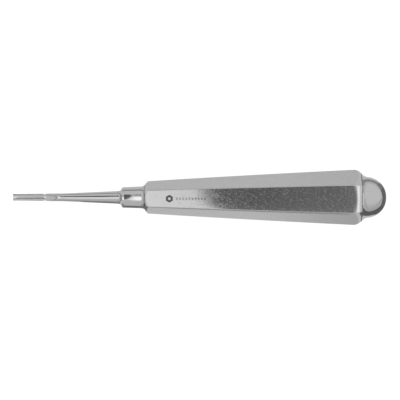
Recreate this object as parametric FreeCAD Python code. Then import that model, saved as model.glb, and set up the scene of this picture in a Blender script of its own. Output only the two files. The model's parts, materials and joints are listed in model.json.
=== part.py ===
"""Straight dental elevator of the gouge pattern, with a hollow six-sided handle, all in stainless steel.

The blade, shank and tang are one forging. The tang is pinned and silver-brazed into a turned ferrule, whose
spigot is brazed into the nose of the handle. The handle is two pressed half shells, welded along their two
outer corners, and a turned plug and a domed cap close its wide end.

Every piece is built about the instrument's own axis: X runs from the cutting edge (x = 0) to the cap, and Z
points out of the hollow side of the blade. lay_down() then rests the finished pieces on the handle's lower
flat. Lengths are in millimetres and angles in degrees.
"""

import FreeCAD, Part
import math
import os

from FreeCAD import Placement, Rotation, Vector

# Lengths along the axis, measured from the cutting edge
LENGTH = 160.0           # to the top of the cap
SCOOP_STRAIGHT = 12.9    # where the scoop's floor starts to rise
WAIST_START = 19.4       # the thinnest part of the shank
WAIST_END = 21.5
FERRULE_FRONT = 46.1     # where the shank meets the ferrule
NOSE_CONE_START = 55.75  # where the collar's wall would meet the cone of the handle's nose
NOSE_SEAM = 55.9         # where the ferrule meets the handle shells
NOSE_CONE_END = 58.45    # where that cone reaches the handle's corners
BUTT_CONE_START = 147.7  # where the corners run into the cone of the wide end
BUTT_SEAM = 149.9        # where the handle shells meet the cap
BUTT_CONE_END = 150.7    # where that cone would meet the cap's neck
NOSE_STATION = 58.0      # where the handle is HANDLE_NOSE_FLATS across
BUTT_STATION = 150.0     # where the handle's flats would be HANDLE_BUTT_FLATS across

# Blade and shank
BLADE_TIP_R = 1.54       # radius of the blade's rounded back at the edge
BLADE_ROOT_R = 1.65      # and where the scoop starts to rise
WAIST_R = 1.69
WAIST_EASE_R = 60.0      # radius on which the waist flares into the shank's taper
SHANK_ROOT_R = 2.79
SCOOP_R = 1.81           # radius of the hollow across the blade
SCOOP_FLOOR = -1.1       # height of the hollow's floor
RIM_HEIGHT = -0.6        # height of the blade's two side rims
SCOOP_RISE_R = 9.0       # radius of the arc on which the floor runs out, seen from the side
EDGE_THICKNESS = 0.05    # what the honed edge keeps
INNER_HONE = (0.15, 0.8)  # how much the hollow widens at the edge, and over what length
OUTER_HONE_ANGLE = 20.0
CLEAR = 3.0              # how far the grinding tools pass outside the bar
RUN_OUT_TURN = 60.0      # how far round the run-out is ground, which takes it clear of the bar

# Tang, ferrule and pin
TANG_R = 2.2
TANG_LENGTH = 18.4
FERRULE_BORE_R = 2.23    # room for the braze film around the tang
FERRULE_MOUTH_R = 3.05
COUNTERBORE = (2.9, 0.9)  # radius and depth of the recess that holds the braze around the tang
BRAZE_FILLET = (1.3, 0.35)  # length of the fillet on the shank, and of its steep end at the ferrule
BRAZE_FILLET_R = 1.5
BRAZE_LIP = 0.03         # how thick the fillet is where it ends
COLLAR_R = 4.5
COLLAR_CHAMFER = 1.4
COLLAR_EDGE_R = 0.5
SPIGOT_R = 4.0
SPIGOT_LENGTH = 10.5
PIN_R = 0.75
PIN_SETBACK = 5.2        # from the nose seam to the pin
END_CHAMFER = 0.4

# Handle
HANDLE_NOSE_FLATS = 12.4
HANDLE_BUTT_FLATS = 21.2
HANDLE_EDGE_R = 0.45     # rounding of the six long edges
HANDLE_END_EDGE_R = 0.5  # rounding where the flats meet the turned butt
NOSE_EDGE_R = 0.3        # rounding where the flats meet the turned nose
NOSE_ROOT_R = 3.2        # roundings of the turned ends
NOSE_RIM_R = 1.5
BUTT_RIM_R = 4.0
BUTT_ROOT_R = 3.0
WALL = 1.0
NOSE_BORE = 4.0          # how far the bores for the spigot and the plug reach into the shells
BUTT_BORE = 3.0
SEAM_WELD_WIDTH = 0.6
BRAZE_FILM = 0.25        # thickness of a brazed ring between two pieces

# Cap and plug
CAP_ROOT_R = 8.98        # radius at BUTT_CONE_END, before rounding
CAP_SOCKET_R = 7.6       # inside of the cap, and the plug's spigot
CAP_NECK_R = 7.67        # where the neck's slope would meet the end of the cap
CAP_DOME_R = 8.5
BUTT_BORE_R = 8.9        # the shells' open end, and the plug's land
PLUG_LAND = 2.0
PLUG_FLANGE_R = 9.0
PLUG_FLANGE = 1.2
PLUG_SPIGOT = 1.3
PLUG_HOLLOW_R = 5.5
PLUG_FLOOR = 1.2

FAR = 40.0               # larger than any cross-section
LONG_EDGE = 50.0         # shorter than the handle's long edges, longer than any other
NEAR_END = 3.0           # an end's scalloped edges lie this close to its seam
AXIS = Vector(1, 0, 0)


def flats_at(x):
    """Distance across the handle's flats at station x."""
    share = (x - NOSE_STATION) / (BUTT_STATION - NOSE_STATION)
    return HANDLE_NOSE_FLATS + share * (HANDLE_BUTT_FLATS - HANDLE_NOSE_FLATS)


def corner_r_at(x):
    """Radius of the six-sided handle's sharp corners at station x."""
    return flats_at(x) / math.sqrt(3)


TAPER = math.degrees(math.atan((flats_at(1) - flats_at(0)) / 2))  # slope of each flat to the axis

# Half outline of the ferrule, handle and cap: station, radius and rounding of each corner. The flats are cut
# out of this body, and the seams divide it into pieces.
SKIN = [
    (FERRULE_FRONT, FERRULE_MOUTH_R, 0),
    (FERRULE_FRONT + COLLAR_CHAMFER, COLLAR_R, COLLAR_EDGE_R),
    (NOSE_CONE_START, COLLAR_R, NOSE_ROOT_R),
    (NOSE_CONE_END, corner_r_at(NOSE_CONE_END), NOSE_RIM_R),
    (BUTT_CONE_START, corner_r_at(BUTT_CONE_START), BUTT_RIM_R),
    (BUTT_CONE_END, CAP_ROOT_R, BUTT_ROOT_R),
    (LENGTH, CAP_NECK_R, CAP_DOME_R),
    (LENGTH, 0, 0),
]


def rounded_edges(points):
    """Edges through (x, r, rounding) points in the XZ plane, with a tangent arc at each rounded corner."""
    corners = [Vector(x, 0, r) for x, r, _ in points]
    edges, start = [], corners[0]
    for i in range(1, len(points) - 1):
        rounding = points[i][2]
        into = (corners[i] - corners[i - 1]).normalize()
        out = (corners[i + 1] - corners[i]).normalize()
        if rounding:
            half_turn = into.getAngle(out) / 2
            reach = rounding * math.tan(half_turn)
            inward = (out - into).normalize()
            first = corners[i] - into * reach
            last = corners[i] + out * reach
            middle = corners[i] + inward * (rounding / math.cos(half_turn) - rounding)
            edges.append(Part.makeLine(start, first))
            edges.append(Part.Arc(first, middle, last).toShape())
            start = last
        else:
            edges.append(Part.makeLine(start, corners[i]))
            start = corners[i]
    edges.append(Part.makeLine(start, corners[-1]))
    return edges


def turned(points):
    """Solid of revolution about the axis under an outline of (x, r, rounding) points."""
    edges = rounded_edges(points)
    outline = [edges[0].Vertexes[0].Point, edges[-1].Vertexes[-1].Point]
    feet = [Vector(p.x, 0, 0) for p in outline]
    sides = [(feet[0], outline[0]), (outline[1], feet[1]), (feet[1], feet[0])]
    closing = [Part.makeLine(a, b) for a, b in sides if a.distanceToPoint(b) > 1e-6]
    wire = Part.Wire(Part.__sortEdges__(edges + closing))
    return Part.Face(wire).revolve(Vector(), AXIS, 360)


def rod(x0, x1, radius):
    """Round bar on the axis from station x0 to x1."""
    return Part.makeCylinder(radius, x1 - x0, Vector(x0, 0, 0), AXIS)


def slab(x0, x1):
    """All the space between two stations."""
    return Part.makeBox(x1 - x0, 2 * FAR, 2 * FAR, Vector(x0, -FAR, -FAR))


def six_sided(x0, x1, inset=0.0):
    """Tapered hexagonal bar with flats above and below, its flats inset by a wall thickness."""
    def corners(x):
        radius = corner_r_at(x) - inset * 2 / math.sqrt(3)
        turns = [math.radians(60 * i) for i in range(6)]
        return [Vector(x, radius * math.cos(a), radius * math.sin(a)) for a in turns]
    front, back = corners(x0), corners(x1)
    outlines = [front[::-1], back] + [[front[i - 1], front[i], back[i], back[i - 1]] for i in range(6)]
    faces = [Part.Face(Part.makePolygon(outline + outline[:1])) for outline in outlines]
    return Part.Solid(Part.Shell(faces))


def long_edges(solid):
    """The edges of a solid that run the whole length of the handle."""
    return [e for e in solid.Edges if e.BoundBox.XLength > LONG_EDGE]


def mouth_edges(solid, x):
    """The edges near station x where a flat meets a turned surface."""
    def bounds_flat(edge):
        faces = solid.ancestorsOfType(edge, Part.Face)
        return any(face.BoundBox.XLength > LONG_EDGE for face in faces)
    return [e for e in solid.Edges if abs(e.BoundBox.Center.x - x) < NEAR_END and bounds_flat(e)]


SKIN_BODY = turned(SKIN)


def blade_tools():
    """What is ground out of the round bar to make the blade: the scoop, its run-out, and the two hones."""
    centre = Vector(SCOOP_STRAIGHT, 0, SCOOP_FLOOR + SCOOP_R)
    pivot = Vector(SCOOP_STRAIGHT, 0, SCOOP_FLOOR + SCOOP_RISE_R)
    scoop = Part.Face(Part.Wire(Part.makeCircle(SCOOP_R, centre, AXIS)))
    corners = [(-CLEAR, RIM_HEIGHT), (CLEAR, RIM_HEIGHT), (CLEAR, CLEAR), (-CLEAR, CLEAR)]
    above = Part.Face(Part.makePolygon([Vector(SCOOP_STRAIGHT, y, z) for y, z in corners + corners[:1]]))
    tools = []
    for section in (scoop, above):
        tools.append(section.extrude(Vector(-SCOOP_STRAIGHT - CLEAR, 0, 0)))
        tools.append(section.revolve(pivot, Vector(0, -1, 0), RUN_OUT_TURN))

    start = Vector(0, 0, centre.z)
    widening, hone_length = INNER_HONE
    tools.append(Part.makeCone(SCOOP_R + widening, SCOOP_R, hone_length, start, AXIS))
    back_r = SCOOP_R + widening + EDGE_THICKNESS
    spread = CLEAR * math.tan(math.radians(OUTER_HONE_ANGLE))
    cone = Part.makeCone(back_r, back_r + spread, CLEAR, start, AXIS)
    tools.append(Part.makeCylinder(back_r + CLEAR, CLEAR, start, AXIS).cut(cone))
    return tools


def working_end():
    """Blade, shank and tang, forged and ground in one piece."""
    bar = turned([
        (0, BLADE_TIP_R, 0),
        (SCOOP_STRAIGHT, BLADE_ROOT_R, 0),
        (WAIST_START, WAIST_R, 0),
        (WAIST_END, WAIST_R, WAIST_EASE_R),
        (FERRULE_FRONT, SHANK_ROOT_R, 0),
    ])
    for tool in blade_tools():
        bar = bar.cut(tool)
    tang_end = FERRULE_FRONT + TANG_LENGTH
    tang = turned([
        (FERRULE_FRONT, TANG_R, 0),
        (tang_end - END_CHAMFER, TANG_R, 0),
        (tang_end, TANG_R - END_CHAMFER, 0),
    ])
    return bar.fuse(tang).removeSplitter().cut(pin_hole())


def tang_braze():
    """Silver braze in the ferrule's counterbore, with a fillet between the shank and the ferrule."""
    length, steep = BRAZE_FILLET
    recess_r, recess_depth = COUNTERBORE
    slope = (SHANK_ROOT_R - WAIST_R) / (FERRULE_FRONT - WAIST_END)
    front = FERRULE_FRONT - length
    shank_r = SHANK_ROOT_R - slope * length
    ring = turned([
        (front, shank_r + BRAZE_LIP, 0),
        (FERRULE_FRONT - steep, SHANK_ROOT_R + BRAZE_LIP, BRAZE_FILLET_R),
        (FERRULE_FRONT, FERRULE_MOUTH_R, 0),
        (FERRULE_FRONT, recess_r, 0),
        (FERRULE_FRONT + recess_depth, recess_r, 0),
    ])
    shank = Part.makeCone(shank_r, SHANK_ROOT_R, length, Vector(front, 0, 0), AXIS)
    return ring.cut(shank).cut(rod(FERRULE_FRONT, FERRULE_FRONT + 2 * recess_depth, TANG_R))


def pin_hole():
    """The cross hole through the spigot and tang, which is also the pin's own shape before it is trimmed."""
    return Part.makeCylinder(PIN_R, 2 * FAR, Vector(NOSE_SEAM + PIN_SETBACK, -FAR, 0), Vector(0, 1, 0))


def ferrule():
    """Turned collar with a spigot for the handle's nose, bored for the tang."""
    spigot_end = NOSE_SEAM + SPIGOT_LENGTH
    spigot = turned([
        (NOSE_SEAM, SPIGOT_R, 0),
        (spigot_end - END_CHAMFER, SPIGOT_R, 0),
        (spigot_end, SPIGOT_R - END_CHAMFER, 0),
    ])
    collar = SKIN_BODY.common(slab(FERRULE_FRONT, NOSE_SEAM))
    bore = rod(FERRULE_FRONT - 1, spigot_end + 1, FERRULE_BORE_R)
    recess_r, recess_depth = COUNTERBORE
    bore = bore.fuse(rod(FERRULE_FRONT - 1, FERRULE_FRONT + recess_depth, recess_r))
    return collar.fuse(spigot).removeSplitter().cut(bore).cut(pin_hole())


def tang_pin():
    """Cross pin that stops the tang turning or pulling out, flush with the spigot."""
    return pin_hole().common(rod(NOSE_SEAM, NOSE_SEAM + SPIGOT_LENGTH, SPIGOT_R))


def nose_braze():
    """Brazed ring between the ferrule's shoulder and the handle shells."""
    ring = SKIN_BODY.common(slab(NOSE_SEAM, NOSE_SEAM + BRAZE_FILM))
    return ring.cut(rod(NOSE_SEAM - 1, NOSE_SEAM + 1, SPIGOT_R))


def handle_outside():
    """The whole six-sided handle as one filled body, with its edges eased."""
    bar = six_sided(NOSE_SEAM - 5, BUTT_SEAM + 5)
    bar = bar.makeFillet(HANDLE_EDGE_R, long_edges(bar))
    body = bar.common(SKIN_BODY).common(slab(NOSE_SEAM + BRAZE_FILM, BUTT_SEAM)).Solids[0]
    for x, radius in ((BUTT_SEAM, HANDLE_END_EDGE_R), (NOSE_SEAM + BRAZE_FILM, NOSE_EDGE_R)):
        body = body.makeFillet(radius, mouth_edges(body, x))
    return body


def handle_hollow():
    """The space inside the handle: the same body inset by the wall, open through the nose and butt bores."""
    end_shift = WALL * math.sqrt(2)
    inside = turned([
        (NOSE_SEAM + end_shift, SPIGOT_R, 0),
        (NOSE_CONE_END + end_shift, corner_r_at(NOSE_CONE_END), 0),
        (BUTT_CONE_START - end_shift, corner_r_at(BUTT_CONE_START), 0),
        (BUTT_CONE_END - end_shift, CAP_ROOT_R, 0),
    ])
    hollow = six_sided(NOSE_SEAM, BUTT_SEAM, WALL).common(inside)
    nose_bore = rod(NOSE_SEAM, NOSE_SEAM + NOSE_BORE, SPIGOT_R)
    butt_bore = rod(BUTT_SEAM - BUTT_BORE, BUTT_SEAM + 1, BUTT_BORE_R)
    return hollow.multiFuse([nose_bore, butt_bore])


def handle_shells():
    """Upper and lower half shells, and the weld that fills each seam along the outer corners."""
    wall = handle_outside().cut(handle_hollow())
    length = BUTT_SEAM - NOSE_SEAM + 2
    half = SEAM_WELD_WIDTH / 2

    def part_of_wall(low, high):
        size, corner = high - low, low + Vector(NOSE_SEAM - 1, 0, 0)
        return wall.common(Part.makeBox(length, size.y, size.z, corner))

    return {
        "handle_shell_upper": part_of_wall(Vector(0, -FAR, half), Vector(0, FAR, FAR)),
        "handle_shell_lower": part_of_wall(Vector(0, -FAR, -FAR), Vector(0, FAR, -half)),
        "seam_weld_left": part_of_wall(Vector(0, 0, -half), Vector(0, FAR, half)),
        "seam_weld_right": part_of_wall(Vector(0, -FAR, -half), Vector(0, 0, half)),
    }


def end_plug():
    """Turned plug in the wide end: a flange behind the shells, a land in their bore, a cap spigot."""
    land_start = BUTT_SEAM - PLUG_LAND
    flange_start = land_start - PLUG_FLANGE
    plug = rod(flange_start, land_start, PLUG_FLANGE_R).fuse(rod(land_start, BUTT_SEAM, BUTT_BORE_R))
    plug = plug.fuse(rod(BUTT_SEAM, BUTT_SEAM + PLUG_SPIGOT, CAP_SOCKET_R)).removeSplitter()
    return plug.cut(rod(flange_start + PLUG_FLOOR, BUTT_SEAM + PLUG_SPIGOT, PLUG_HOLLOW_R))


def cap_braze():
    """Brazed ring between the handle shells and the cap."""
    ring = SKIN_BODY.common(slab(BUTT_SEAM, BUTT_SEAM + BRAZE_FILM))
    return ring.cut(rod(BUTT_SEAM - 1, BUTT_SEAM + 1, CAP_SOCKET_R))


def end_cap():
    """Domed cap, pressed hollow, that closes the wide end."""
    outside = SKIN_BODY.common(slab(BUTT_SEAM + BRAZE_FILM, LENGTH))
    dome_centre = LENGTH - CAP_DOME_R
    hollow = rod(BUTT_SEAM, dome_centre, CAP_SOCKET_R)
    hollow = hollow.fuse(Part.makeSphere(CAP_SOCKET_R, Vector(dome_centre, 0, 0)))
    return outside.cut(hollow)


def lay_down(shapes):
    """Rests the instrument on the handle's lower flat, box's bottom centre at the origin, blade at -X."""
    level = Placement(Vector(), Rotation(Vector(0, 1, 0), -TAPER))
    for shape in shapes.values():
        shape.Placement = level.multiply(shape.Placement)
    box = Part.makeCompound(list(shapes.values())).optimalBoundingBox(True, False)
    drop = flats_at(0) / 2 * math.cos(math.radians(TAPER))
    shift = Vector(-(box.XMin + box.XMax) / 2, 0, drop)
    for shape in shapes.values():
        shape.translate(shift)
    return shift


def build():
    """All the pieces by name, in the axis frame."""
    return {
        "working_end": working_end(),
        "tang_braze": tang_braze(),
        "ferrule": ferrule(),
        "tang_pin": tang_pin(),
        "nose_braze": nose_braze(),
        **handle_shells(),
        "end_plug": end_plug(),
        "cap_braze": cap_braze(),
        "end_cap": end_cap(),
    }


def main():
    shapes = build()
    shift = lay_down(shapes)
    os.makedirs("parts", exist_ok=True)
    for name, shape in shapes.items():
        shape.exportStep(f"parts/{name}.step")
        box = shape.BoundBox
        print(f"{name}: {len(shape.Solids)} solid(s), {shape.Volume:.1f} mm3, valid {shape.isValid()}, "
              f"x {box.XMin:.2f} to {box.XMax:.2f}, z {box.ZMin:.2f} to {box.ZMax:.2f}")
    print(f"taper {TAPER:.4f} degrees, shift {shift.x:.4f} {shift.z:.4f}")


main()
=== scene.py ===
import json
import math

import bmesh
import bpy
from mathutils import Matrix, Vector


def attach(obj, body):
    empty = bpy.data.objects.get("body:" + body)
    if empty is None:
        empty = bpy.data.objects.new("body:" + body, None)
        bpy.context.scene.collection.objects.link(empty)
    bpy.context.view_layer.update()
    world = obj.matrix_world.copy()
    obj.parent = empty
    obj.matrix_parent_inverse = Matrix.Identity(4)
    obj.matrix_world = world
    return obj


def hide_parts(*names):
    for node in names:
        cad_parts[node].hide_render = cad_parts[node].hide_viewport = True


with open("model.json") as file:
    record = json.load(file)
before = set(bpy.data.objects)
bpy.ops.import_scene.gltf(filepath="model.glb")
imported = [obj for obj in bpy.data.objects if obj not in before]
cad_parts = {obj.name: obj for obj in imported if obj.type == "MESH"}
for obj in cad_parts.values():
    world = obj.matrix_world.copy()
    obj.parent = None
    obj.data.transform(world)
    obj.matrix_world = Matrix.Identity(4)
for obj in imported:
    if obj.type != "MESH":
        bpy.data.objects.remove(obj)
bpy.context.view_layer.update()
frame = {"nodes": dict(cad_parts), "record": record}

# The pieces are drawn in millimetres about the instrument's own axis. The first number is the station, from
# the cutting edge (0) to the top of the cap (LENGTH), the second is towards +Y, and the third is out of the
# blade's hollow side. The collar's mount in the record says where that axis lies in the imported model.
MM = 0.001
COLLAR_MIDDLE = 51.06    # the station of the collar's mount
LENGTH = 160.0
MOUNTS = {mount["name"]: mount for mount in frame["record"]["mounts"]}
SEAT = MOUNTS["collar_seat"]
ALONG = -Vector(SEAT["axis"]).normalized()
ACROSS = Vector((0.0, 1.0, 0.0))
OUT = ALONG.cross(ACROSS)
PLACE = (
    Matrix.Translation(Vector(SEAT["pos_m"]))
    @ Matrix((ALONG, ACROSS, OUT)).transposed().to_4x4()
    @ Matrix.Scale(MM, 4)
    @ Matrix.Translation((-COLLAR_MIDDLE, 0, 0))
)

# ---------------------------------------------------------------- camera
LENS = 150.0
SENSOR = 36.0
FRAME_WIDTH = 171.52     # what the picture is across, at the instrument, in mm
LEAN = 4.8               # how far the camera stands towards +Y, in degrees
LOOKED_AT = 80.23        # the station at the middle of the picture
RAISED = 1.115           # how far the instrument lies above the middle of the picture

lean = math.radians(LEAN)
RIGHT = ALONG            # towards the right of the picture
BACK = (OUT * math.cos(lean) + ACROSS * math.sin(lean)).normalized()    # from the instrument to the camera
UPWARD = BACK.cross(RIGHT)
target = PLACE @ Vector((LOOKED_AT, 0, 0)) - UPWARD * RAISED * MM
distance = FRAME_WIDTH * MM * LENS / SENSOR
eye = bpy.data.cameras.new("camera")
eye.lens = LENS
eye.sensor_width = SENSOR
eye.clip_start = 0.01
eye.clip_end = 20.0
camera = bpy.data.objects.new("camera", eye)
camera.matrix_world = (
    Matrix.Translation(target + BACK * distance)
    @ Matrix((RIGHT, UPWARD, BACK)).transposed().to_4x4()
)
bpy.context.scene.collection.objects.link(camera)
bpy.context.scene.camera = camera
bpy.context.scene.view_settings.view_transform = "Standard"


# ---------------------------------------------------------------- node wiring
class Wiring:
    """Adds nodes to a shader tree and joins them up."""

    def __init__(self, tree):
        self.tree = tree
        self.tree.nodes.clear()

    def node(self, kind, inputs=(), **settings):
        made = self.tree.nodes.new("ShaderNode" + kind)
        for key, value in settings.items():
            setattr(made, key, value)
        for key, value in dict(inputs).items():
            self.feed(made.inputs[key], value)
        return made

    def feed(self, socket, value):
        if isinstance(value, bpy.types.NodeSocket):
            self.tree.links.new(value, socket)
        else:
            socket.default_value = value

    def math(self, operation, *values):
        return self.node("Math", enumerate(values), operation=operation).outputs[0]

    def product(self, *values):
        total = values[0]
        for value in values[1:]:
            total = self.math("MULTIPLY", total, value)
        return total

    def dot(self, vector, axis):
        made = self.node("VectorMath", {0: vector, 1: tuple(axis)}, operation="DOT_PRODUCT")
        return made.outputs["Value"]

    def step(self, value, low, high, start=0.0, end=1.0):
        """start below low, end above high, and smooth between them."""
        return self.node(
            "MapRange",
            {"Value": value, "From Min": low, "From Max": high, "To Min": start, "To Max": end},
            interpolation_type="SMOOTHSTEP",
        ).outputs["Result"]

    def window(self, value, low, high, soft_low, soft_high):
        """1 between low and high, 0 outside, with edges of their own widths."""
        rise = self.step(value, low - soft_low / 2, low + soft_low / 2)
        fall = self.step(value, high - soft_high / 2, high + soft_high / 2, 1.0, 0.0)
        return self.product(rise, fall)

    def blend(self, share, first, second):
        """first where share is 0, second where it is 1, for plain numbers."""
        return self.node("Mix", {0: share, 2: first, 3: second}).outputs[0]

    def noise(self, vector, scale, detail=3.0, roughness=0.55):
        return self.node(
            "TexNoise", {"Vector": vector, "Scale": scale, "Detail": detail, "Roughness": roughness}
        ).outputs["Fac"]

    def stretched(self, vector, scale, turn=0.0):
        """The coordinates turned about the way out of the top flat, then scaled along each axis."""
        turned = self.node("Mapping", {"Vector": vector, "Rotation": (0, 0, math.radians(turn))}).outputs[0]
        return self.node("Mapping", {"Vector": turned, "Scale": scale}).outputs[0]


# ---------------------------------------------------------------- light
DOOR_EDGE = -5.72        # where the doorway meets the softbox, in degrees from the camera
CARD_HEIGHT = 0.6        # how far above the table a floor card lies, in mm


def studio_world():
    """The white tent round the camera: a softbox beside a dark doorway, seen in the polished steel.

    Every place in it is in degrees east (RIGHT) and north (UPWARD) of the camera's direction, and the last
    two numbers of a window are the widths of its soft edges.
    """
    world = bpy.data.worlds.new("studio")
    bpy.context.scene.world = world
    world.use_nodes = True
    w = Wiring(world.node_tree)
    ray = w.node("TexCoord").outputs["Generated"]
    outward = w.dot(ray, BACK)
    degree = math.degrees(1)
    east = w.product(w.math("ARCTAN2", w.dot(ray, RIGHT), outward), degree)
    north = w.product(w.math("ARCTAN2", w.dot(ray, UPWARD), outward), degree)

    west_wall = w.step(north, -75, 30, 0.85, 0.93)
    east_wall = w.step(north, -80, -30, 0.75, 1.08)
    light = w.blend(w.step(east, 14, 22), west_wall, east_wall)
    box = w.product(w.window(east, -22, -3.0, 6, 1.5), w.window(north, -29, 6.0, 6, 3))
    light = w.blend(box, light, w.step(east, -14, -7, 1.70, 1.27))
    under = w.product(w.window(east, -4.0, 16, 1.5, 3), w.window(north, -44, -14, 8, 3))
    light = w.blend(under, light, 0.62)
    slanted = w.math("ADD", east, w.product(w.math("ADD", north, 9.6), 0.037))
    door = w.product(w.window(slanted, DOOR_EDGE, 13.5, 0.7, 10), w.window(north, -30.5, 32, 4, 2))
    arm = w.product(w.window(east, -14, -8.2, 3, 0.8), w.window(north, 6.0, 32, 3, 2))
    gloom = w.math("ADD", w.step(north, -20, -8, 0.27, 0.175), w.step(east, -3.8, -1.2, 0, 0.05))
    gloom = w.math("ADD", gloom, w.step(east, -0.2, 2.4, 0, 0.25))
    light = w.blend(w.math("MAXIMUM", door, arm), light, gloom)

    seen = w.node("LightPath").outputs["Is Camera Ray"]
    tinted = w.node("CombineColor", {0: light, 1: light, 2: light}).outputs[0]
    pale = w.node("Background", {"Color": (0.97, 0.97, 0.972, 1.0)}).outputs[0]
    lit = w.node("Background", {"Color": tinted}).outputs[0]
    shown = w.node("MixShader", {0: seen, 1: lit, 2: pale}).outputs[0]
    w.node("OutputWorld", {"Surface": shown})


def stage_piece(name, points, faces, material):
    mesh = bpy.data.meshes.new(name)
    mesh.from_pydata(points, [], faces)
    mesh.materials.append(material)
    made = bpy.data.objects.new(name, mesh)
    bpy.context.scene.collection.objects.link(made)
    return made


def light_table():
    """A plain white table top that glows a little, so that shadows on it stay faint."""
    paper = bpy.data.materials.new("table_top")
    paper.use_nodes = True
    p = Wiring(paper.node_tree)
    seen = p.node("LightPath").outputs["Is Camera Ray"]
    axes = p.node("SeparateXYZ", {0: p.node("TexCoord").outputs["Object"]}).outputs
    by_wide_end = p.window(axes[0], 0.050, 0.0735, 0.060, 0.005)
    shaded = p.product(by_wide_end, p.step(axes[1], -0.01, 0.01, 0.25, 0.07))
    glow = p.blend(seen, p.math("SUBTRACT", 0.58, shaded), 0.80)
    lit = p.node("BsdfDiffuse", {"Color": (0.36, 0.36, 0.362, 1.0)}).outputs[0]
    glowing = p.node("Emission", {"Color": (1.0, 1.0, 1.0, 1.0), "Strength": glow}).outputs[0]
    surface = p.node("AddShader", {0: lit, 1: glowing}).outputs[0]
    p.node("OutputMaterial", {"Surface": surface})
    reach = 6.0
    corners = [(-reach, -reach, 0), (reach, -reach, 0), (reach, reach, 0), (-reach, reach, 0)]
    stage_piece("table_top", corners, [(0, 1, 2, 3)], paper)


def show_to_reflections(name, points, faces, brightness):
    """A grey card that only the steel's reflections see."""
    card = bpy.data.materials.new(name)
    card.use_nodes = True
    c = Wiring(card.node_tree)
    grey = (brightness, brightness, brightness, 1.0)
    glow = c.node("Emission", {"Color": grey, "Strength": 1.0}).outputs[0]
    c.node("OutputMaterial", {"Surface": glow})
    shown = stage_piece(name, points, faces, card)
    shown.visible_camera = False
    shown.visible_diffuse = False
    shown.visible_shadow = False
    shown.visible_transmission = False


def flag(name, line, brightness):
    """A standing card: a ribbon through (x, y, lowest z, highest z), in mm."""
    points = [(x * MM, y * MM, z * MM) for x, y, low, high in line for z in (low, high)]
    faces = [(i, i + 2, i + 3, i + 1) for i in range(0, len(points) - 2, 2)]
    show_to_reflections(name, points, faces, brightness)


def floor_card(name, corners, brightness):
    """A card lying just above the table, in mm."""
    points = [(x * MM, y * MM, CARD_HEIGHT * MM) for x, y in corners]
    show_to_reflections(name, points, [range(len(points))], brightness)


studio_world()
light_table()
flag("flag_west", [(-115, -120, 0, 7), (-115, 120, 0, 7)], 0.26)
flag("flag_north", [(-115, 75, 0, 20), (60, 75, 0, 20)], 0.36)
flag("flag_collar", [(-44, 50, 0, 13), (-24, 50, 0, 13)], 0.5)
flag("flag_south", [(-115, -70, 0, 22), (-40, -70, 0, 22)], 0.3)
flag("flag_south_east", [(-28, -70, 0, 22), (60, -70, 0, 22)], 0.3)
floor_card("card_shank", [(-52, -26), (-38, -26), (-38, -7), (-52, -7)], 0.22)
floor_card(
    "card_collar", [(-38, -66), (-26.5, -60), (-25.2, -26), (-25.2, -10), (-29.5, -7), (-38, -7)], 0.27)
floor_card("card_handle", [(-26, -60), (66, -90), (66, -37), (-26, -23)], 0.5)
flag("flag_cap_north", [(72, 13.4, 10, 14), (76, 12.6, 10, 14), (80, 10, 9, 14.5)], 0.45)
flag("flag_cap_turn", [(80, 10, 9, 14.5), (83, 6, 2, 15.5)], 0.33)
flag("flag_cap_east", [(83, 6, 2, 15.5), (84.5, 0, 0, 16), (83, -6, 0, 15.8)], 0.23)
flag(
    "flag_cap_south",
    [(83, -6, 0, 15.8), (80, -10, 6, 17.5), (76, -12.6, 11.5, 18.4), (72, -13.4, 11.5, 18.4)], 0.2)
floor_card("card_east", [(80.3, -8), (84.5, -8), (84.5, 8), (80.3, 8)], 0.2)


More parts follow.
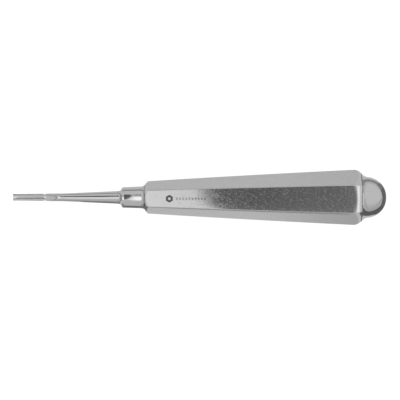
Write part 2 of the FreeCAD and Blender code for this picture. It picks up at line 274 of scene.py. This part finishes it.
# ---------------------------------------------------------------- materials
def steel(name, shade, roughness, brushing, marks, extra=None, tint=(1.0, 1.0, 1.005)):
    """Ground and polished steel: brushing along the instrument, fine crossed scratches, and specks.

    brushing is the strength of the brushing, and marks that of the scratches and specks. extra changes the
    light and the roughness by place, and is given both with the three coordinates in the axis frame.
    """
    material = bpy.data.materials.new(name)
    material.use_nodes = True
    m = Wiring(material.node_tree)
    position = m.node("TexCoord").outputs["Object"]
    origin = PLACE.inverted() @ Vector((0, 0, 0))
    axes = [
        m.math("ADD", m.dot(position, axis / MM), start)
        for axis, start in zip((ALONG, ACROSS, OUT), origin)]
    place = m.node("CombineXYZ", enumerate(axes)).outputs[0]

    grain = m.noise(m.stretched(place, (0.06, 5.0, 5.0)), 1.0, 4.0, 0.6)
    cloud = m.noise(place, 0.35, 3.0)
    scratch = m.product(
        m.step(m.noise(m.stretched(place, (0.22, 5.5, 0.5), 42), 1.0, 2.0), 0.62, 0.74),
        m.step(m.noise(place, 0.12, 1.0), 0.45, 0.6))
    crossed = m.step(m.noise(m.stretched(place, (0.2, 7.0, 0.5), -50), 1.0, 2.0), 0.66, 0.76)
    speck = m.step(m.noise(place, 1.35, 1.0), 0.48, 0.68)

    light = m.math("ADD", 1.0, m.product(m.math("SUBTRACT", grain, 0.5), 0.12 * brushing))
    light = m.math("ADD", light, m.product(m.math("SUBTRACT", cloud, 0.5), 0.10))
    light = m.math("ADD", light, m.product(speck, 0.03 * marks))
    light = m.product(light, shade)
    if extra:
        light, roughness = extra(m, light, roughness, *axes)
    colour = m.node("CombineColor", {i: m.product(light, part) for i, part in enumerate(tint)}).outputs[0]

    rough = m.math("ADD", roughness, m.product(m.math("SUBTRACT", cloud, 0.5), 0.03))
    rough = m.math("ADD", rough, m.product(m.math("ADD", scratch, crossed), 0.14 * marks))
    rough = m.math("ADD", rough, m.product(speck, 0.04 * marks))
    height = m.math("ADD", m.product(grain, 0.5 * brushing), m.product(scratch, -0.4 * marks))
    height = m.math("ADD", height, m.product(crossed, -0.3 * marks))
    bump = m.node("Bump", {"Height": height, "Strength": 0.25, "Distance": 0.002 * MM}).outputs[0]
    metallic = m.math("SUBTRACT", 1.0, m.product(speck, 0.13 * marks))
    surface = m.node("BsdfPrincipled", {
        "Base Color": colour, "Metallic": metallic, "Roughness": rough, "Normal": bump,
    }).outputs[0]
    m.node("OutputMaterial", {"Surface": surface})
    return material


def painted_highlights_and_nose_shade(m, light, roughness, along, across, out):
    """Painted highlights on the flats' two ends, and painted shade in the corner at the nose."""
    # painted highlight: a bright band where the flats end at the wide end
    wide_end_highlight_band = m.product(m.window(along, 146.7, 147.8, 0.4, 0.5), m.window(across, -5.7, 5.7, 0.6, 0.6))
    # painted highlight: a bright line along the flats' edge at the nose
    rim = m.product(m.window(along, 57.05, 57.5, 0.3, 0.4), m.window(across, -3.2, 3.2, 0.4, 0.4))
    gain = m.math("ADD", m.product(wide_end_highlight_band, 0.45), m.product(rim, 0.42))
    # painted shade: the corner at the nose is painted darker
    corner = m.product(m.step(along, 56.8, 57.1, 0.35, 0), m.step(across, -3.7, -3.2))
    gain = m.math("SUBTRACT", gain, corner)
    return m.product(light, m.math("ADD", 1.0, gain)), roughness


def painted_collar_highlight(m, light, roughness, along, across, out):
    """Painted highlight: the top of the collar is painted brighter towards its shoulder."""
    # painted highlight on the collar's top, by its shoulder
    collar_highlight_patch = m.product(m.window(along, 51.5, 55.1, 4.0, 0.3), m.window(across, -1.2, 0.75, 0.3, 0.3))
    return m.product(light, m.math("ADD", 1.0, m.product(collar_highlight_patch, 0.45))), roughness


def painted_cap_ring_highlight(m, light, roughness, along, across, out):
    """Painted highlight: the cap's braze is painted brighter in the middle of the top."""
    # painted highlight across the middle of the cap's ring
    ring_highlight_middle = m.product(m.window(across, -2.6, 2.6, 0.8, 0.8), m.step(along, 100, 110))
    return m.product(light, m.math("ADD", 1.0, m.product(ring_highlight_middle, 0.6))), roughness


def satin_blade_and_painted_corner_shade(m, light, roughness, along, across, out):
    """The blade is ground satin, with painted shade on the corners of its cutting edge; the shank behind it
    is polished.
    """
    # painted shade: the cutting edge's two corners are darkened
    corners = m.product(m.step(along, 0.3, 0.9, 0.3, 0), m.step(m.math("ABSOLUTE", across), 0.7, 1.1))
    return m.product(light, m.math("SUBTRACT", 1.0, corners)), m.step(along, 18.6, 19.6, 0.15, roughness)


def etched(m, light, roughness, along, across, out):
    """A plain mark etched on the top flat: a six-sided dot and a row of bars."""
    dot_station, dot_r, hole_r = 67.2, 1.45, 0.55
    first_bar, last_bar, pitch, bar, half_height = 70.0, 83.2, 1.32, 0.82, 0.52
    east = m.math("ABSOLUTE", m.math("SUBTRACT", along, dot_station))
    north = m.math("ABSOLUTE", across)
    slanted = m.math("ADD", m.product(east, 0.5), m.product(north, math.cos(math.radians(30))))
    reach = m.math("MAXIMUM", east, slanted)
    dot = m.window(reach, hole_r, dot_r, 0.12, 0.12)
    beat = m.math("FRACT", m.math("DIVIDE", m.math("SUBTRACT", along, first_bar), pitch))
    bars = m.product(
        m.window(beat, 0.06, bar / pitch, 0.08, 0.08), m.window(along, first_bar, last_bar, 0.1, 0.1),
        m.step(north, half_height - 0.06, half_height + 0.06, 1.0, 0.0))
    top = m.math("GREATER_THAN", out, 0.0)
    dark = m.math("MAXIMUM", m.product(dot, 0.85), m.product(bars, 0.42))
    # painted highlights on the flats' ends and painted shade in the corner at the nose
    light, roughness = painted_highlights_and_nose_shade(m, light, roughness, along, across, out)
    return m.product(light, m.math("SUBTRACT", 1.0, m.product(dark, top))), roughness


BLADE_STEEL = steel("blade_steel", 0.48, 0.05, brushing=0.3, marks=0.08, extra=satin_blade_and_painted_corner_shade)
FERRULE_STEEL = steel("ferrule_steel", 0.48, 0.05, brushing=0.3, marks=0.4, extra=painted_collar_highlight)
CAP_STEEL = steel("cap_steel", 0.44, 0.06, brushing=0.2, marks=0.5)
HANDLE_STEEL = steel("handle_steel", 0.468, 0.05, brushing=0.8, marks=1.0, extra=painted_highlights_and_nose_shade)
MARKED_STEEL = steel("marked_steel", 0.468, 0.05, brushing=0.8, marks=1.0, extra=etched)
WELD_STEEL = steel("weld_steel", 0.44, 0.2, brushing=0.4, marks=0.6, tint=(1.01, 1.0, 0.98))
BRAZE = steel("braze", 0.44, 0.12, brushing=0.2, marks=0.5, extra=painted_cap_ring_highlight, tint=(1.03, 1.0, 0.95))
PIN_STEEL = steel("pin_steel", 0.45, 0.25, brushing=0.6, marks=0.6)
PLUG_STEEL = steel("plug_steel", 0.42, 0.3, brushing=0.5, marks=0.6)


# ---------------------------------------------------------------- meshes
def finish_piece(name, points, faces, material, slot, stands_for, crease=30.0):
    """Makes one closed piece from points in the axis frame, and says what it rides on and stands for."""
    mesh = bpy.data.meshes.new(name)
    mesh.from_pydata(points, [], faces)
    mesh.transform(PLACE)
    work = bmesh.new()
    work.from_mesh(mesh)
    bmesh.ops.remove_doubles(work, verts=work.verts, dist=0.0005 * MM)
    bmesh.ops.recalc_face_normals(work, faces=work.faces)
    work.to_mesh(mesh)
    work.free()
    mesh.shade_smooth()
    mesh.set_sharp_from_angle(angle=math.radians(crease))
    mesh.materials.append(material)
    made = bpy.data.objects.new(name, mesh)
    bpy.context.scene.collection.objects.link(made)
    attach(made, "root")
    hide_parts(stands_for)


def loft(sections, pairs):
    """Points and faces of the skin over closed sections, with strips between paired points at both ends."""
    count = len(sections[0])
    points = [point for section in sections for point in section]
    faces = []
    for row in range(len(sections) - 1):
        for column in range(count):
            near, far = row * count + column, row * count + (column + 1) % count
            faces.append((near, far, far + count, near + count))
    for start in (0, (len(sections) - 1) * count):
        for (a, b), (c, d) in zip(pairs, pairs[1:]):
            corners = list(dict.fromkeys((a, c, d, b)))
            faces.append([start + corner for corner in corners])
    return points, faces


def lathe(outline, turns=180):
    """Points and faces of an outline of (station, radius) points turned about the axis.

    An outline that starts off the axis is closed from its last point to its first.
    """
    points, rings = [], []
    for station, radius in outline:
        if radius == 0:
            rings.append([len(points)] * turns)
            points.append((station, 0, 0))
            continue
        rings.append(list(range(len(points), len(points) + turns)))
        for i in range(turns):
            angle = 2 * math.pi * i / turns
            points.append((station, radius * math.cos(angle), radius * math.sin(angle)))
    if outline[0][1] > 0:
        rings.append(rings[0])
    faces = []
    for first, second in zip(rings, rings[1:]):
        for i in range(turns):
            j = (i + 1) % turns
            corners = list(dict.fromkeys((first[i], first[j], second[j], second[i])))
            if len(corners) > 2:
                faces.append(corners)
    return points, faces


def rounded(corners, step=4.0):
    """(station, radius) points along straight lines, with an arc at each corner that has a rounding.

    A corner is (station, radius, rounding). An arc has at least six parts, of about step degrees at most.
    """
    line = [tuple(corners[0][:2])]
    for before, corner, after in zip(corners, corners[1:], corners[2:]):
        here = Vector(corner[:2])
        if corner[2] == 0:
            line.append(tuple(here))
            continue
        into = (here - Vector(before[:2])).normalized()
        away = (Vector(after[:2]) - here).normalized()
        half = into.angle(away) / 2
        start = here - into * corner[2] * math.tan(half)
        middle = here + (away - into).normalized() * corner[2] / math.cos(half)
        side = 1 if into.x * away.y - into.y * away.x > 0 else -1
        count = max(6, round(math.degrees(2 * half) / step))
        for i in range(count + 1):
            turn = Matrix.Rotation(side * 2 * half * i / count, 2)
            line.append(tuple(middle + turn @ (start - middle)))
    line.append(tuple(corners[-1][:2]))
    return line


def filled_in(line, gap=0.2):
    """The same line with points along its straight runs, which keeps the shading true."""
    points = [line[0]]
    for (x0, r0), (x1, r1) in zip(line, line[1:]):
        count = math.ceil(math.hypot(x1 - x0, r1 - r0) / gap)
        points += [(x0 + (x1 - x0) * i / count, r0 + (r1 - r0) * i / count) for i in range(1, count + 1)]
    return points


def height_at(line, station):
    """Radius at a station of a line whose stations only grow."""
    for (x0, r0), (x1, r1) in zip(line, line[1:]):
        if station <= x1:
            return r0 if x1 == x0 else r0 + (r1 - r0) * (station - x0) / (x1 - x0)
    return line[-1][1]


def eased_least(first, second, width):
    """The lesser of two numbers, eased where they are within width of each other."""
    near = max(width - abs(first - second), 0) / width
    return min(first, second) - near * near * width / 4


def spread(*runs):
    """Stations through runs of (start, end, step)."""
    stations = []
    for start, end, step in runs:
        count = max(1, round((end - start) / step))
        stations += [start + (end - start) * i / count for i in range(count)]
    return stations + [runs[-1][1]]


# ---------------------------------------------------------------- handle
FERRULE_FRONT = 46.1
NOSE_SEAM = 55.9
BUTT_SEAM = 149.2
FILM = 0.25              # thickness of a brazed ring
WALL = 1.0
SPIGOT_R = 4.0
BUTT_BORE_R = 8.9
PLUG_SHOULDER = 149.95   # past the plug's land
EDGE_R = 0.45            # rounding of the long edges
CORNER = math.radians(30)
CROWN = 0.15             # how much the ground flats bow outwards, halfway along
POLISH_DROP = 0.13       # how much buffing has lowered the flats beside their edges
POLISH_REACH = 1.6
NOSE_EASE = 0.8          # how widely the nose's cone flows into the flats
BUTT_EASE = 1.9          # how widely the wide end's cone flows into the flats, at the side corners
BUTT_EASE_FLAT = 1.3     # how much wider it is over the top flat

FLAT_START = 58.0        # the ground flats widen evenly from here, over FLAT_LENGTH
FLAT_LENGTH = 92.0
FLAT_NARROW = 6.2        # from the axis to a flat at FLAT_START
FLAT_GROWTH = 4.4        # how much further it is at the far end

COLLAR_BEND = (50.6, 4.50)   # where the collar's wall starts to widen faster
NOSE_CORNER = (56.0, 4.755)  # where the collar's wall would meet the cone of the handle's nose
NOSE_ROUNDING = 2.0
NOSE_SLOPE = 1.3
NOSE_REACH = 19          # how far the nose's cone is drawn, which is past the flats

BUTT_CORNER = 147.7      # where the wide end's cone meets the long edges
CAP_CORNER = (150.7, 8.98)   # where that cone would meet the side of the cap
CAP_ROUNDING = 4.0
CONE_REACH = 20.7        # how far before CAP_CORNER the cone is drawn
DOME_FOOT_R = 7.67       # radius at which the side of the cap would meet its top
DOME_ROUNDING = 8.5


def apothem(station, turn):
    """From the axis to a flat: it widens evenly, and is a little crowned except underneath."""
    share = (station - FLAT_START) / FLAT_LENGTH
    upper = min(1.0, max(0.0, (math.sin(turn) + math.cos(CORNER)) / (math.cos(CORNER) - 0.5)))
    return FLAT_NARROW + share * FLAT_GROWTH + CROWN * upper * max(0.0, 1 - (2 * share - 1) ** 2)


def corner_r(station):
    """Radius of the long edges, before they are rounded."""
    return (FLAT_NARROW + (station - FLAT_START) / FLAT_LENGTH * FLAT_GROWTH) / math.cos(CORNER)


BUTT_SLOPE = (CAP_CORNER[1] - corner_r(BUTT_CORNER)) / (CAP_CORNER[0] - BUTT_CORNER)
NOSE_CONE = rounded([
    (*COLLAR_BEND, 0), (*NOSE_CORNER, NOSE_ROUNDING),
    (NOSE_CORNER[0] + NOSE_REACH, NOSE_CORNER[1] + NOSE_SLOPE * NOSE_REACH, 0)])
BUTT_CONE = rounded([
    (CAP_CORNER[0] - CONE_REACH, CAP_CORNER[1] - BUTT_SLOPE * CONE_REACH, 0), (*CAP_CORNER, CAP_ROUNDING),
    (LENGTH, DOME_FOOT_R, DOME_ROUNDING), (LENGTH, 0, 0)])


def handle_r(station, turn):
    """Radius of the handle's outside at a station, turn radians from +Y towards the top flat."""
    flat = apothem(station, turn)
    swing = turn % (2 * CORNER) - CORNER
    from_middle = flat * math.tan(abs(swing))
    half_flat = flat * math.tan(CORNER)
    if from_middle <= (flat - EDGE_R) * math.tan(CORNER):
        radius = flat / math.cos(swing)
    else:
        centre = (flat - EDGE_R) / math.cos(CORNER)
        off = CORNER - abs(swing)
        radius = centre * math.cos(off) + math.sqrt(EDGE_R ** 2 - (centre * math.sin(off)) ** 2)
    radius -= POLISH_DROP * math.exp(-math.hypot(half_flat - from_middle, 0.15) / POLISH_REACH)
    if station < 70:
        return eased_least(radius, height_at(NOSE_CONE, station), NOSE_EASE)
    if station > 135:
        width = BUTT_EASE + BUTT_EASE_FLAT * math.sin(turn) ** 2
        return eased_least(radius, height_at(BUTT_CONE, station), width)
    return radius


def hollow_r(station, turn):
    """Radius of the handle's inside."""
    swing = turn % (2 * CORNER) - CORNER
    radius = handle_r(station, turn) - WALL / math.cos(swing)
    if station < 60:
        return max(radius - 0.4, SPIGOT_R)
    if station > 146.5:
        return max(radius - 0.3, BUTT_BORE_R)
    return radius


def on_level(radius_at, station, level):
    """Turn at which the surface is at height level, beside the +Y corner."""
    turn = 0.0
    for _ in range(6):
        turn = math.asin(level / radius_at(station, turn))
    return turn


ROWS = spread(
    (NOSE_SEAM + FILM, 59.5, 0.1), (59.5, 62, 0.25), (62, 144, 2.5), (144, 146, 0.4), (146, BUTT_SEAM, 0.1))
# Degrees from each long edge at which the wall has points: close together at the edge, apart on the flat.
OFFSETS = (0, 0.35, 0.7, 1.05, 1.4, 1.8, 2.3, 2.9, 3.6, 4.5, 5.6, 7, 9, 11.5, 14.5, 18, 22, 26, 30)
HALF_WELD = 0.3


def polar(station, radius, turn):
    return (station, radius * math.cos(turn), radius * math.sin(turn))


def half_shell(lowest):
    """Half of the handle's wall, over half a turn from lowest degrees, up to the weld on each side."""
    between = sorted({
        corner + side * offset
        for corner in (0, 60, 120, 180) for side in (-1, 1) for offset in OFFSETS
        if 5 < corner + side * offset < 175})
    sections = []
    for station in ROWS:
        rings = []
        for radius_at in (handle_r, hollow_r):
            edge = on_level(radius_at, station, HALF_WELD)
            turns = [edge, *(math.radians(t) for t in between), math.pi - edge]
            turns = [turn + math.radians(lowest) for turn in turns]
            rings.append([polar(station, radius_at(station, turn), turn) for turn in turns])
        sections.append(rings[0] + rings[1][::-1])
    count = len(sections[0])
    return loft(sections, [(i, count - 1 - i) for i in range(count // 2)])


def weld_strip(side):
    """The weld that fills the seam along the corner at +Y (side 1) or -Y (side -1)."""
    levels = [HALF_WELD * (i / 6 - 1) for i in range(13)]
    sections = []
    for station in ROWS:
        rings = []
        for radius_at in (handle_r, hollow_r):
            turns = [on_level(radius_at, station, level) for level in levels]
            ring = [polar(station, radius_at(station, turn), turn) for turn in turns]
            rings.append([(x, side * y, z) for x, y, z in ring])
        sections.append(rings[0] + rings[1][::-1])
    count = len(sections[0])
    return loft(sections, [(i, count - 1 - i) for i in range(count // 2)])


finish_piece("handle_upper", *half_shell(0), MARKED_STEEL, "handle_steel", "handle_shell_upper")
finish_piece("handle_lower", *half_shell(180), HANDLE_STEEL, "handle_steel", "handle_shell_lower")
finish_piece("weld_left", *weld_strip(1), WELD_STEEL, "weld", "seam_weld_left")
finish_piece("weld_right", *weld_strip(-1), WELD_STEEL, "weld", "seam_weld_right")

# ---------------------------------------------------------------- ferrule, rings and cap
SPIGOT_END = NOSE_SEAM + 10.5
SPIGOT_EASE = 0.4        # chamfer at the spigot's end
TANG_BORE_R = 2.23
POCKET_END = FERRULE_FRONT + 0.9     # the pocket for the braze round the tang
POCKET_R = 2.9
SOCKET_R = 7.6           # radius of the cap's round hollow

collar = filled_in(rounded([
    (FERRULE_FRONT, 3.05, 0), (47.0, 4.37, 0.35), (47.8, 4.45, 0.5),
    (*COLLAR_BEND, 150), (*NOSE_CORNER, 0)]))
collar = [point for point in collar if point[0] < 54.1]
collar += [(x, height_at(NOSE_CONE, x)) for x in spread((54.2, NOSE_SEAM, 0.1))]
spigot = [
    (NOSE_SEAM, SPIGOT_R), (SPIGOT_END - SPIGOT_EASE, SPIGOT_R), (SPIGOT_END, SPIGOT_R - SPIGOT_EASE)]
tang_bore = [
    (SPIGOT_END, TANG_BORE_R), (POCKET_END, TANG_BORE_R), (POCKET_END, POCKET_R), (FERRULE_FRONT, POCKET_R)]
finish_piece("ferrule_body", *lathe(collar + spigot + tang_bore), FERRULE_STEEL, "ferrule_steel", "ferrule")


def ring_outline(start, line, bore, dip=0.015):
    """A brazed ring FILM thick, a little below the two surfaces that it joins."""
    stations = [start + FILM * i / 4 for i in range(5)]
    outside = [(x, height_at(line, x) - dip * math.sin(math.pi * i / 4)) for i, x in enumerate(stations)]
    return outside + [(start + FILM, bore), (start, bore)]


nose_outline = ring_outline(NOSE_SEAM, NOSE_CONE, SPIGOT_R)
finish_piece("nose_ring", *lathe(nose_outline), BRAZE, "braze", "nose_braze")
cap_outline = ring_outline(BUTT_SEAM, BUTT_CONE, BUTT_BORE_R, dip=0.02)
finish_piece("cap_ring", *lathe(cap_outline), BRAZE, "braze", "cap_braze")

DOME_CENTRE = LENGTH - DOME_ROUNDING
cap_start = BUTT_SEAM + FILM
dome = filled_in(
    [(cap_start, height_at(BUTT_CONE, cap_start))] + [point for point in BUTT_CONE if point[0] > cap_start])
inner = [(DOME_CENTRE + SOCKET_R * math.sin(math.radians(a)), SOCKET_R * math.cos(math.radians(a)))
         for a in range(87, -1, -3)]
finish_piece("cap_dome", *lathe(
    dome[::-1] + [(cap_start, BUTT_BORE_R), (PLUG_SHOULDER, BUTT_BORE_R), (PLUG_SHOULDER, SOCKET_R)]
    + inner[::-1] + [(DOME_CENTRE + SOCKET_R, 0)]),
    CAP_STEEL, "cap_steel", "end_cap")

# ---------------------------------------------------------------- blade, shank and tang
STRAIGHT = 12.9          # where the scoop's floor starts to rise
SCOOP_R = 1.81
SCOOP_CENTRE = 0.71      # height of the hollow's centre
RIM = -0.6
RISE_CENTRE = 7.9        # height of the point about which the run-out is ground
RUN_OUT = 7.5            # this far past STRAIGHT, the grinding is clear of the steel
ABOVE_ALL = 10.0         # a height above all of the steel
FLOOR_RISE = 0.1         # how much the hollow's floor rises between the edge and STRAIGHT
LIP = 0.12               # how widely the run-out's end is eased into its lip
LIP_SLOPE = 0.1          # the lip is buffed down at this slope, up to LIP_END
LIP_END = 20.7
HONE_LENGTH = 1.9        # up to this station the hollow is honed a little wider
HONE_GAIN = 0.15         # how much wider its radius is at the edge
BEVEL = 20               # slope of the bevel on the blade's back, in degrees
BEVEL_START = 0.2        # how far outside SCOOP_R the bevel starts, at the edge
TANG_R = 2.2
TANG_TIP_R = 1.8
TANG_EASE = 0.4          # length of the chamfer at the tang's end
TANG_END = FERRULE_FRONT + 18.4
BLADE_STEPS = 96         # steps across the blade, over the hollow and again round the back
BAR = rounded([
    (0, 1.54, 0), (STRAIGHT, 1.65, 0), (19.4, 1.69, 0), (21.5, 1.70, 60), (FERRULE_FRONT, 2.79, 0)])


def scoop_height(station, across):
    """Height of the ground hollow, or of the rim where the hollow is narrower."""
    hone = HONE_GAIN * max(0, 1 - station / HONE_LENGTH) ** 2
    radius = SCOOP_R + hone
    sink = math.sqrt(max(radius ** 2 - across ** 2, 0))
    along = max(station - STRAIGHT, 0)
    if along >= RUN_OUT:
        return ABOVE_ALL
    rim = RISE_CENTRE - math.sqrt((RISE_CENTRE - RIM) ** 2 - along ** 2)
    reach = RISE_CENTRE - SCOOP_CENTRE + sink
    if reach <= along:
        return rim
    rise = FLOOR_RISE * min(station / STRAIGHT, 1)
    return min(rim, RISE_CENTRE + rise - math.sqrt(reach ** 2 - along ** 2))


def blade_section(station, radius):
    """Closed section: across the hollow from +Y to -Y, and back round the outside."""
    def clearance(across):
        return scoop_height(station, across) + math.sqrt(max(radius ** 2 - across ** 2, 0))
    low, high = 0.0, radius
    if clearance(radius) >= 0:
        low = radius
    else:
        for _ in range(30):
            middle = (low + high) / 2
            if clearance(middle) > 0:
                low = middle
            else:
                high = middle
    edge = low
    top = []
    for i in range(BLADE_STEPS + 1):
        across = edge * math.cos(math.pi * i / BLADE_STEPS)
        buffed = 1 - LIP_SLOPE * min(max(LIP_END - station, 0), 1.5) / radius
        round_height = buffed * math.sqrt(max(radius ** 2 - across ** 2, 0))
        lip = max(min(LIP, round_height), 1e-6)
        top.append((station, across, eased_least(round_height, scoop_height(station, across), lip)))
    start = -math.acos(min(1.0, edge / radius))
    bottom = []
    for i in range(1, BLADE_STEPS):
        turn = start + (-math.pi - 2 * start) * i / BLADE_STEPS
        across = radius * math.cos(turn)
        bevel_r = SCOOP_R + BEVEL_START + station * math.tan(math.radians(BEVEL))
        bevelled = SCOOP_CENTRE - math.sqrt(max(bevel_r ** 2 - across ** 2, 0))
        bottom.append((station, across, max(radius * math.sin(turn), bevelled)))
    return top + bottom[::-1]


blade_rows = spread((0, 1.2, 0.1), (1.2, STRAIGHT, 0.5), (STRAIGHT, 20, 0.12), (20, FERRULE_FRONT, 0.6))
sections = [blade_section(x, height_at(BAR, x)) for x in blade_rows]
sections += [blade_section(x, TANG_R) for x in (FERRULE_FRONT, 50, 55, 60, TANG_END - TANG_EASE)]
sections.append(blade_section(TANG_END, TANG_TIP_R))
size = len(sections[0])
pairs = [(0, 0)] + [(i, size - i) for i in range(1, size // 2)] + [(size // 2, size // 2)]
finish_piece("blade_and_shank", *loft(sections, pairs), BLADE_STEEL, "blade_steel", "working_end")

# The fillet round the shank, and the braze behind it, which fills the ferrule's pocket.
fillet = rounded([
    (FERRULE_FRONT - 1.3, height_at(BAR, FERRULE_FRONT - 1.3) + 0.02, 0),
    (FERRULE_FRONT - 0.35, 2.82, 1.2), (FERRULE_FRONT, 3.03, 0)])
finish_piece("shank_fillet", *lathe(fillet + [
    (FERRULE_FRONT, 2.88), (FERRULE_FRONT + 0.88, 2.88), (FERRULE_FRONT + 0.88, 2.21),
    (FERRULE_FRONT + 0.02, 2.21), (FERRULE_FRONT + 0.02, 2.8), (FERRULE_FRONT - 0.65, 2.765)]),
    BRAZE, "braze", "tang_braze")

for node, material in (("tang_pin", PIN_STEEL), ("end_plug", PLUG_STEEL)):
    slots = frame["nodes"][node].data.materials
    slots.clear()
    slots.append(material)
